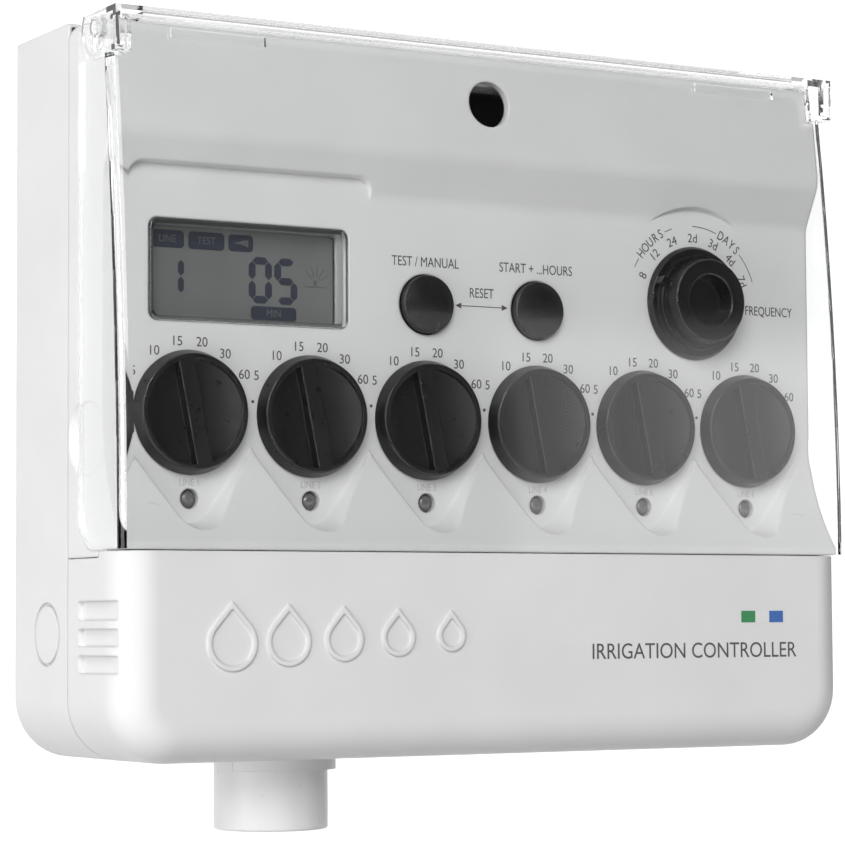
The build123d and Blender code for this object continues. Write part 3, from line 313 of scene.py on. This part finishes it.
def facing(x, y, z, turn_deg=0.0):
    """Puts a flat sketch, X right and Y up, on a plane that faces the user, turned clockwise."""
    turn = Matrix.Rotation(radians(turn_deg), 4, "Y")
    return Matrix.Translation((x, y, z)) @ turn @ Matrix.Rotation(radians(90), 4, "X")


EM_PER_CAPITAL = 1.37


def lettering(text, height, place, width=0.82):
    """Text as a thin mesh with capitals of the given height, its middle at the place."""
    curve = bpy.data.curves.new("lettering", "FONT")
    curve.body = text
    curve.size = height * EM_PER_CAPITAL
    curve.align_x = "CENTER"
    curve.align_y = "CENTER"
    curve.extrude = PRINT_THICKNESS / 2
    curve.resolution_u = 4
    shown = bpy.data.objects.new("lettering", curve)
    bpy.context.collection.objects.link(shown)
    bpy.context.view_layer.update()
    mesh = bpy.data.meshes.new_from_object(shown)
    bpy.data.objects.remove(shown)
    piece = bpy.data.objects.new("lettering", mesh)
    bpy.context.collection.objects.link(piece)
    piece.matrix_world = place @ Matrix.Diagonal((width, 1, 1, 1))
    return piece


def prism(points, place):
    """Slab of ink with the given outline in its own X and Y, centred on the place."""
    slab = bmesh.new()
    near = [slab.verts.new((x, y, PRINT_THICKNESS / 2)) for x, y in points]
    far = [slab.verts.new((x, y, -PRINT_THICKNESS / 2)) for x, y in points]
    slab.faces.new(near)
    slab.faces.new(far[::-1])
    for i in range(len(points)):
        j = (i + 1) % len(points)
        slab.faces.new((near[j], near[i], far[i], far[j]))
    bmesh.ops.recalc_face_normals(slab, faces=slab.faces)
    mesh = bpy.data.meshes.new("prism")
    slab.to_mesh(mesh)
    slab.free()
    piece = bpy.data.objects.new("prism", mesh)
    bpy.context.collection.objects.link(piece)
    piece.matrix_world = place
    return piece


def bar(width, height, place):
    x, y = width / 2, height / 2
    return prism([(-x, -y), (x, -y), (x, y), (-x, y)], place)


ROUND_STEPS = 24


def disc(radius, place):
    angles = [radians(360 * i / ROUND_STEPS) for i in range(ROUND_STEPS)]
    return prism([(radius * cos(a), radius * sin(a)) for a in angles], place)


def arc_line(radius, start_deg, end_deg, place):
    """Curved stroke about the place; angles run clockwise from straight up."""
    sweep = (end_deg - start_deg) / ROUND_STEPS
    angles = [radians(start_deg + sweep * i) for i in range(ROUND_STEPS + 1)]
    out, back = radius + LINE / 2, radius - LINE / 2
    outer = [(out * sin(a), out * cos(a)) for a in angles]
    inner = [(back * sin(a), back * cos(a)) for a in reversed(angles)]
    return prism(outer + inner, place)


PRINT_Y = PANEL_Y - PRINT_LIFT - PRINT_THICKNESS / 2


def on_ring(x, z, radius, angle_deg, turned=False):
    """Place on a ring about (x, z) on the panel; the angle runs clockwise from straight up."""
    a = radians(angle_deg)
    return facing(x + radius * sin(a), PRINT_Y, z + radius * cos(a), angle_deg if turned else 0)


FIGURE = 2.6 * MM
FIGURE_WIDTH = 0.95
WORD = 2.75 * MM
WORD_WIDTH = 0.78
LINE = 0.22 * MM
ZONE_MARKS = [("5", -57.5), ("10", -33.0), ("15", -11.0), ("20", 11.25), ("30", 33.75), ("60", 57.0)]
ZONE_RING = 18.4 * MM
OUTER_MARK_SHIFT = 0.3 * MM
OFF_DOT_ANGLE = -78.75
OFF_DOT_RING = 17.2 * MM
OFF_DOT_R = 0.42 * MM


def zone_print():
    pieces = []
    for x in ZONE_X:
        for text, angle in ZONE_MARKS:
            radius = ZONE_RING + (OUTER_MARK_SHIFT if abs(angle) > 50 else 0)
            place = on_ring(x, ZONE_Z, radius, angle)
            pieces.append(lettering(text, FIGURE, place, FIGURE_WIDTH))
        pieces.append(disc(OFF_DOT_R, on_ring(x, ZONE_Z, OFF_DOT_RING, OFF_DOT_ANGLE)))
    return join(pieces, "zone_print", GREY_INK)


FREQUENCY_MARKS = ["8", "12", "24", "2d", "3d", "4d", "7d"]
FIRST_MARK = -67.5
MARK_STEP = 22.5
WORD_RING = 21.9 * MM
WORD_STEP = 5.8


def on_dial(radius, angle_deg):
    return on_ring(FREQUENCY.x, FREQUENCY.z, radius, angle_deg, turned=True)


def word_on_dial(word, middle_deg):
    first = middle_deg - WORD_STEP * (len(word) - 1) / 2
    places = [on_dial(WORD_RING, first + i * WORD_STEP) for i in range(len(word))]
    return [lettering(letter, WORD, place, WORD_WIDTH) for letter, place in zip(word, places)]


def frequency_print():
    pieces = []
    for i, text in enumerate(FREQUENCY_MARKS):
        place = on_dial(ZONE_RING, FIRST_MARK + MARK_STEP * i)
        pieces.append(lettering(text, FIGURE, place, FIGURE_WIDTH))
    pieces += word_on_dial("HOURS", -41.5) + word_on_dial("DAYS", 35)
    middle = facing(FREQUENCY.x, PRINT_Y, FREQUENCY.z)
    for start, end in ((-65, -57.5), (-26, -19), (0, 22), (47.5, 71)):
        pieces.append(arc_line(WORD_RING, start, end, middle))
    return join(pieces, "frequency_print", GREY_INK)


ARROW_GAP = 9.2 * MM
ARROW_LIFT = 0.3 * MM
ARROW_HEAD = 1.9 * MM
ARROW_HALF = 0.42 * ARROW_HEAD
OVER_BUTTON = 11.3 * MM
OVER_ARROW = 3.8 * MM


def button_arrow():
    """Double arrow from one button to the other."""
    x0, x1, z = TEST.x + ARROW_GAP, START.x - ARROW_GAP, TEST.z + ARROW_LIFT
    pieces = [bar(x1 - x0 - 2 * ARROW_HEAD, LINE, facing((x0 + x1) / 2, PRINT_Y, z))]
    for x, reach in ((x0, ARROW_HEAD), (x1, -ARROW_HEAD)):
        tip = [(0, 0), (reach, -ARROW_HALF), (reach, ARROW_HALF)]
        pieces.append(prism(tip, facing(x, PRINT_Y, z)))
    return pieces


def button_print():
    words = [
        ("TEST / MANUAL", TEST.x, TEST.z + OVER_BUTTON),
        ("START + ...HOURS", START.x, START.z + OVER_BUTTON),
        ("RESET", (TEST.x + START.x) / 2, TEST.z + OVER_ARROW),
        ("FREQUENCY", FREQUENCY.x + 26.3 * MM, FREQUENCY.z - 1.2 * MM),
    ]
    pieces = button_arrow()
    for text, x, z in words:
        pieces.append(lettering(text, WORD, facing(x, PRINT_Y, z), WORD_WIDTH))
    return join(pieces, "button_print", GREY_INK)


LAMP_NAME_DROP = 17.9 * MM
LAMP_NAME = 1.9 * MM


def lamp_print():
    """Faint zone names between each dial and its lamp."""
    pieces = []
    for i, x in enumerate(ZONE_X):
        place = facing(x, PRINT_Y, ZONE_Z - LAMP_NAME_DROP)
        pieces.append(lettering(f"LINE {i + 1}", LAMP_NAME, place))
    return join(pieces, "lamp_print", PALE_INK)


COVER_PRINT_Y = COVER_Y - PRINT_LIFT - PRINT_THICKNESS / 2
NAME_X = 60.1 * MM
NAME_Z = -68.2 * MM
STRIPE_W = 4.8 * MM
STRIPE_H = 3.2 * MM
STRIPE_X = NAME_X + 22.7 * MM
STRIPE_Z = NAME_Z + 9.4 * MM


def cover_print():
    place = facing(NAME_X, COVER_PRINT_Y, NAME_Z)
    name = lettering("IRRIGATION CONTROLLER", 4.4 * MM, place, 0.93)
    return join([name], "cover_print", GREY_INK)


def stripe(name, material, step):
    place = facing(STRIPE_X + step * STRIPE_W, COVER_PRINT_Y, STRIPE_Z)
    return join([bar(STRIPE_W, STRIPE_H, place)], name, material)


# ---------------------------------------------------------------- what the display shows

CELL_Y = front("lcd_glass") - PRINT_LIFT - PRINT_THICKNESS / 2
CELL_X = (WINDOW_LO.x + WINDOW_HI.x) / 2
CELL_Z = (WINDOW_LO.z + WINDOW_HI.z) / 2
CELL_W = WINDOW_HI.x - WINDOW_LO.x
CELL_H = WINDOW_HI.z - WINDOW_LO.z
DIGIT_W = 6.8 * MM
DIGIT_H = 12.2 * MM
STROKE = 2.0 * MM
SEGMENT_GAP = 0.25 * MM
SEGMENTS = {"0": "abcdef", "1": "bc", "5": "acdfg"}


def cell(across, up):
    """Place on the display: -1 to 1 across and up."""
    return facing(CELL_X + across * CELL_W / 2, CELL_Y, CELL_Z + up * CELL_H / 2)


def segment(x, y, length, upright, place):
    """One bar of a seven-segment figure, with pointed ends."""
    tip, point = length / 2, STROKE / 2
    flat = tip - point
    lower = [(-tip, 0), (-flat, -point), (flat, -point)]
    upper = [(tip, 0), (flat, point), (-flat, point)]
    turn = Matrix.Rotation(radians(90 if upright else 0), 4, "Z")
    return prism(lower + upper, place @ Matrix.Translation((x, y, 0)) @ turn)


def figure(text, place):
    w, h = (DIGIT_W - STROKE) / 2, (DIGIT_H - STROKE) / 2
    across, upright = 2 * w - SEGMENT_GAP, h - SEGMENT_GAP
    where = {
        "a": (0, h, across, False),
        "b": (w, h / 2, upright, True),
        "c": (w, -h / 2, upright, True),
        "d": (0, -h, across, False),
        "e": (-w, -h / 2, upright, True),
        "f": (-w, h / 2, upright, True),
        "g": (0, 0, across, False),
    }
    return [segment(*where[key], place) for key in SEGMENTS[text]]


SMALL_FIGURE = Matrix.Diagonal((0.85, 0.85, 1, 1))


def display_figures():
    pieces = figure("1", cell(-0.63, -0.06) @ SMALL_FIGURE)
    pieces += figure("0", cell(0.2, -0.05)) + figure("5", cell(0.45, -0.05))
    return join(pieces, "display_figures", SEGMENT_INK)


# across, up, width, height
ICONS = [
    (-0.69, 0.60, 9.4 * MM, 4.6 * MM),
    (-0.32, 0.60, 10.4 * MM, 4.6 * MM),
    (0.01, 0.60, 7.2 * MM, 4.4 * MM),
    (0.33, -0.65, 13.4 * MM, 3.7 * MM),
]
ICON_CORNER = 0.7 * MM
ICON_WORD = 2.0 * MM
# millimetres from the middle of the third icon
SIGNAL_SHAPE = [(-2.2, -0.1), (0.2, -0.3), (2.2, -1.0), (2.2, 1.1)]


def display_icons():
    pieces = []
    for across, up, width, tall in ICONS:
        x, y, cut = width / 2, tall / 2, ICON_CORNER
        right = [(x - cut, -y), (x, -y + cut), (x, y - cut), (x - cut, y)]
        left = [(-x + cut, y), (-x, y - cut), (-x, -y + cut), (-x + cut, -y)]
        pieces.append(prism(right + left, cell(across, up)))
    return join(pieces, "display_icons", SEGMENT_INK)


def display_words():
    """Pale words and a sign on the icon boxes."""
    lift = Matrix.Translation((0, 0, PRINT_THICKNESS))
    pieces = []
    for text, (across, up, _, _) in zip(("LINE", "TEST", "", "MIN"), ICONS):
        if text:
            pieces.append(lettering(text, ICON_WORD, cell(across, up) @ lift, 0.9))
    outline = [(x * MM, y * MM) for x, y in SIGNAL_SHAPE]
    pieces.append(prism(outline, cell(*ICONS[2][:2]) @ lift))
    return join(pieces, "display_words", FAINT_SEGMENT)


SPRAY_ANGLES = (-60, -35, -10, 15, 40)
SPRAY_OUT = 3.1 * MM


def display_sprinkler():
    """Head on a line of ground, with a fan of spray over it."""
    base = cell(0.74, -0.05)
    pieces = [bar(1.0 * MM, 1.6 * MM, base)]
    pieces.append(bar(6.5 * MM, 0.4 * MM, base @ Matrix.Translation((0, -1.0 * MM, 0))))
    for turn in SPRAY_ANGLES:
        spray = Matrix.Rotation(radians(turn), 4, "Z") @ Matrix.Translation((0, SPRAY_OUT, 0))
        pieces.append(bar(0.35 * MM, 3.0 * MM, base @ spray))
    return join(pieces, "display_sprinkler", FAINT_SEGMENT)


PRINTS = [
    (zone_print(), "casing", "black_controls"),
    (frequency_print(), "casing", "black_controls"),
    (button_print(), "casing", "black_controls"),
    (lamp_print(), "casing", "casing"),
    (cover_print(), "casing", "black_controls"),
    (stripe("stripe_green", GREEN_INK, -1), "casing", "terminal_green"),
    (stripe("stripe_white", WHITE_INK, 0), "casing", "casing"),
    (stripe("stripe_blue", BLUE_INK, 1), "casing", "display"),
    (display_figures(), "casing", "display"),
    (display_icons(), "casing", "display"),
    (display_words(), "casing", "display"),
    (display_sprinkler(), "casing", "display"),
]
for piece, body, slot in PRINTS:
    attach(piece, body)

# ---------------------------------------------------------------- floor and backdrop

SLEEVE_FOOT = CAD_BOX[0].z
FLOOR_Z = SLEEVE_FOOT - 0.3 * MM
FLOOR_HALF = 3.0
FLOOR_SIDE = 4.0
BACK_Y = 2.6
BEND_R = 1.2
BEND_STEPS = 16
BACK_TOP = 4.0


def sweep_floor():
    """Floor that bends up into a backdrop, as one smooth sheet."""
    path = [(-FLOOR_HALF, FLOOR_Z), (BACK_Y - BEND_R, FLOOR_Z)]
    for i in range(1, BEND_STEPS + 1):
        a = radians(90 * i / BEND_STEPS)
        path.append((BACK_Y - BEND_R + BEND_R * sin(a), FLOOR_Z + BEND_R * (1 - cos(a))))
    path.append((BACK_Y, BACK_TOP))
    sheet = bmesh.new()
    rows = [[sheet.verts.new((x, y, z)) for x in (-FLOOR_SIDE, FLOOR_SIDE)] for y, z in path]
    for below, above in zip(rows, rows[1:]):
        face = sheet.faces.new((below[0], below[1], above[1], above[0]))
        face.smooth = True
    mesh = bpy.data.meshes.new("studio_floor")
    sheet.to_mesh(mesh)
    sheet.free()
    n = Nodes("studio_paper")
    n.finish(
        Base_Color=n.ramp(n.noise(0.004), 0.9, 0.93),
        Roughness=0.9,
        Emission_Color=(1, 1, 1, 1),
        Emission_Strength=0.92,
    )
    mesh.materials.append(n.material)
    floor = bpy.data.objects.new("studio_floor", mesh)
    bpy.context.collection.objects.link(floor)
    floor.visible_diffuse = False
    floor.visible_shadow = False


sweep_floor()

# ---------------------------------------------------------------- lights

SUBJECT = Vector((0, -0.04, 0))


def area_light(name, place, width, height, radiance, glossy=True):
    """Rectangular lamp of a given radiance, aimed at the object."""
    lamp = bpy.data.lights.new(name, "AREA")
    lamp.shape = "RECTANGLE"
    lamp.size = width
    lamp.size_y = height
    lamp.energy = radiance * pi * width * height
    obj = bpy.data.objects.new(name, lamp)
    bpy.context.collection.objects.link(obj)
    obj.visible_glossy = glossy
    obj.visible_camera = False
    turn = (SUBJECT - Vector(place)).to_track_quat("-Z", "Y").to_matrix().to_4x4()
    obj.matrix_world = Matrix.Translation(place) @ turn


area_light("key", (-0.95, -1.5, 0.85), 1.1, 1.1, 6.3)
area_light("left", (-1.45, -0.3, -0.2), 0.8, 1.3, 3.3)
area_light("low_fill", (-0.7, -1.45, -0.8), 1.4, 0.8, 1.15, glossy=False)

# where the veil's light starts, is full, is strongest and ends, and its foot, fade and top
VEIL_X = (0.575, 0.6, 0.85, 1.4)
VEIL_Z = (-0.12, 0.19, 0.29)
VEIL_Y = -1.0
VEIL_STRENGTH = (1.4, 3.1)


def set_range(node, from_min, from_max, to_min, to_max):
    node.inputs["From Min"].default_value = from_min
    node.inputs["From Max"].default_value = from_max
    node.inputs["To Min"].default_value = to_min
    node.inputs["To Max"].default_value = to_max


def veil_card():
    """Soft card at the front right, seen only as a sheen in the clear lid; it fades out at its top."""
    card = bmesh.new()
    left, right, foot, head = VEIL_X[0], VEIL_X[-1], VEIL_Z[0], VEIL_Z[-1]
    corners = ((left, foot), (right, foot), (right, head), (left, head))
    card.faces.new([card.verts.new((x, VEIL_Y, z)) for x, z in corners])
    mesh = bpy.data.meshes.new("veil_card")
    card.to_mesh(mesh)
    card.free()
    n = Nodes("veil_light")
    place = n.add("SeparateXYZ", Vector=n.place)
    across = n.add("MapRange", Value=place.outputs["X"])
    set_range(across, VEIL_X[1], VEIL_X[2], *VEIL_STRENGTH)
    edge = n.add("MapRange", Value=place.outputs["X"])
    set_range(edge, VEIL_X[0], VEIL_X[1], 0.0, 1.0)
    up = n.add("MapRange", Value=place.outputs["Z"])
    set_range(up, VEIL_Z[1], VEIL_Z[2], 1.0, 0.0)
    up.interpolation_type = "SMOOTHSTEP"
    strength = across.outputs[0]
    for factor in (edge, up):
        product = n.add("Math")
        product.operation = "MULTIPLY"
        n.set(product.inputs[0], strength)
        n.set(product.inputs[1], factor.outputs[0])
        strength = product.outputs[0]
    glow = n.add("Emission", Strength=strength)
    n.set(n.output.inputs["Surface"], glow.outputs[0])
    mesh.materials.append(n.material)
    obj = bpy.data.objects.new("veil_card", mesh)
    bpy.context.collection.objects.link(obj)
    obj.visible_camera = False
    obj.visible_diffuse = False
    obj.visible_shadow = False
    obj.visible_transmission = False


veil_card()

FILL = 0.17
MIRRORED = 0.02
THROUGH_CLEAR = 0.9
# the way that the lid's face mirrors, and how near to it the room is dark
MIRRORED_WAY = (0.5, -0.86, 0)
MIRRORED_NEAR = (0.5, 0.8)


def studio_world():
    """Even fill. Gloss mirrors a dark room; clear edges gather light, but not from the front right."""
    world = bpy.data.worlds.new("studio")
    world.use_nodes = True
    tree = world.node_tree
    shade = tree.nodes["Background"].outputs[0]
    tree.nodes["Background"].inputs["Color"].default_value = (1, 1, 1, 1)
    tree.nodes["Background"].inputs["Strength"].default_value = FILL
    path = tree.nodes.new("ShaderNodeLightPath")
    turned = tree.nodes.new("ShaderNodeVectorMath")
    turned.operation = "DOT_PRODUCT"
    turned.inputs[1].default_value = MIRRORED_WAY
    tree.links.new(tree.nodes.new("ShaderNodeTexCoord").outputs["Generated"], turned.inputs[0])
    away = tree.nodes.new("ShaderNodeMapRange")
    set_range(away, *MIRRORED_NEAR, THROUGH_CLEAR, MIRRORED)
    tree.links.new(turned.outputs["Value"], away.inputs["Value"])
    for ray, strength in (("Is Glossy Ray", None), ("Is Transmission Ray", away.outputs[0])):
        room = tree.nodes.new("ShaderNodeBackground")
        room.inputs["Color"].default_value = (1, 1, 1, 1)
        room.inputs["Strength"].default_value = MIRRORED
        if strength:
            tree.links.new(strength, room.inputs["Strength"])
        mix = tree.nodes.new("ShaderNodeMixShader")
        tree.links.new(path.outputs[ray], mix.inputs[0])
        tree.links.new(shade, mix.inputs[1])
        tree.links.new(room.outputs[0], mix.inputs[2])
        shade = mix.outputs[0]
    tree.links.new(shade, tree.nodes["World Output"].inputs["Surface"])
    bpy.context.scene.world = world


studio_world()

# ---------------------------------------------------------------- camera

CAMERA_TARGET = Vector((-15.87, -50.0, -6.32)) * MM
CAMERA_DISTANCE = 804.2 * MM
CAMERA_YAW = radians(30.4)
CAMERA_PITCH = radians(3.91)
CAMERA_ROLL = radians(-0.34)
FOCAL_LENGTH = 127.8


def add_camera():
    level = cos(CAMERA_PITCH)
    ahead = Vector((sin(CAMERA_YAW) * level, cos(CAMERA_YAW) * level, sin(CAMERA_PITCH)))
    right = Vector((cos(CAMERA_YAW), -sin(CAMERA_YAW), 0))
    up = right.cross(ahead)
    rolled_right = right * cos(CAMERA_ROLL) + up * sin(CAMERA_ROLL)
    rolled_up = up * cos(CAMERA_ROLL) - right * sin(CAMERA_ROLL)
    data = bpy.data.cameras.new("camera")
    data.sensor_width = 36.0
    data.lens = FOCAL_LENGTH
    data.clip_start = 0.01
    data.clip_end = 20.0
    camera = bpy.data.objects.new("camera", data)
    bpy.context.collection.objects.link(camera)
    turn = Matrix((rolled_right, rolled_up, -ahead)).transposed().to_4x4()
    camera.matrix_world = Matrix.Translation(CAMERA_TARGET - ahead * CAMERA_DISTANCE) @ turn
    bpy.context.scene.camera = camera


add_camera()

scene = bpy.context.scene
scene.view_settings.view_transform = "Standard"
scene.cycles.max_bounces = 24
scene.cycles.glossy_bounces = 16
scene.cycles.transmission_bounces = 24
scene.cycles.transparent_max_bounces = 24
scene.cycles.caustics_refractive = False
scene.cycles.caustics_reflective = False
